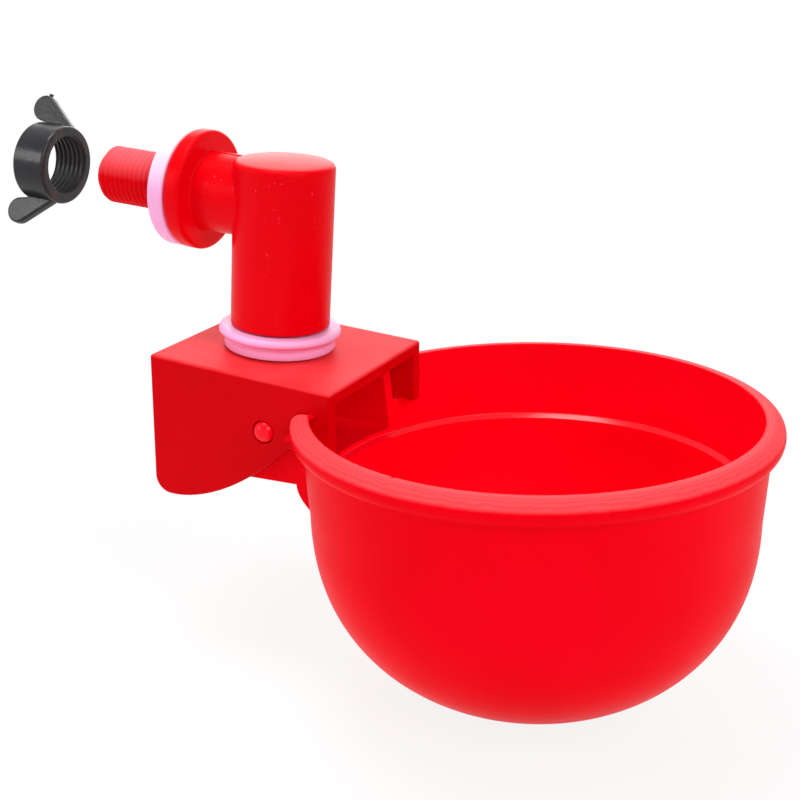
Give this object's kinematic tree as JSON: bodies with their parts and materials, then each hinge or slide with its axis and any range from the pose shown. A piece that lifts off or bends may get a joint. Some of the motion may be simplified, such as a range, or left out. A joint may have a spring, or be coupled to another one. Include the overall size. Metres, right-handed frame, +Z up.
{
  "type": "poultry drinking cup",
  "caption": "Tilting round drinking cup on a bracket under an elbow with a threaded wall stud, gaskets, wing nut and a weight-operated valve.",
  "frame": {"origin": "on the stud's axis, at the stud gasket's face that meets the wall", "axes": "+X from the wall towards the cup, +Z up, the cup as it hangs when empty with its front held up a little"},
  "size_m": [0.1405, 0.078, 0.0866],
  "materials": {
    "red_gloss_plastic": "glossy saturated red moulded plastic",
    "red_satin_plastic": "satin red moulded plastic",
    "pale_rubber": "pinkish white, soft sheen",
    "black_plastic": "satin black moulded plastic",
    "black_rubber": "matt black",
    "white_plastic": "smooth white moulded plastic",
    "spring_steel": "bright drawn wire"
  },
  "bodies": {
    "inlet": {"elbow": "red_gloss_plastic", "bracket": "red_gloss_plastic", "stud_gasket": "pale_rubber", "saddle_gasket": "pale_rubber", "valve_bush": "red_satin_plastic", "valve_spring": "spring_steel"},
    "cup": {"cup": "red_gloss_plastic"},
    "valve": {"valve_plunger": "white_plastic", "valve_seal": "black_rubber"},
    "nut": {"wing_nut": "black_plastic"}
  },
  "joints": [
    {"name": "cup_tilt", "type": "hinge", "parent": "inlet", "child": "cup", "pos_m": [0.0275, 0, -0.0338], "axis": [0, 1, 0], "range_deg": [0, 6], "stiffness_Nm_per_rad": 0.08, "springref_deg": -14.9},
    {"name": "valve_lift", "type": "slide", "parent": "inlet", "child": "valve", "axis": [0, 0, 1], "range_m": [0, 0.00075], "deforming": ["valve_spring"]},
    {"name": "nut_travel", "type": "slide", "parent": "inlet", "child": "nut", "axis": [1, 0, 0], "range_m": [0, 0.0239]}
  ],
  "couplings": [
    {"joint": "valve_lift", "follows": "cup_tilt", "m_per_rad": 0.007}
  ]
}
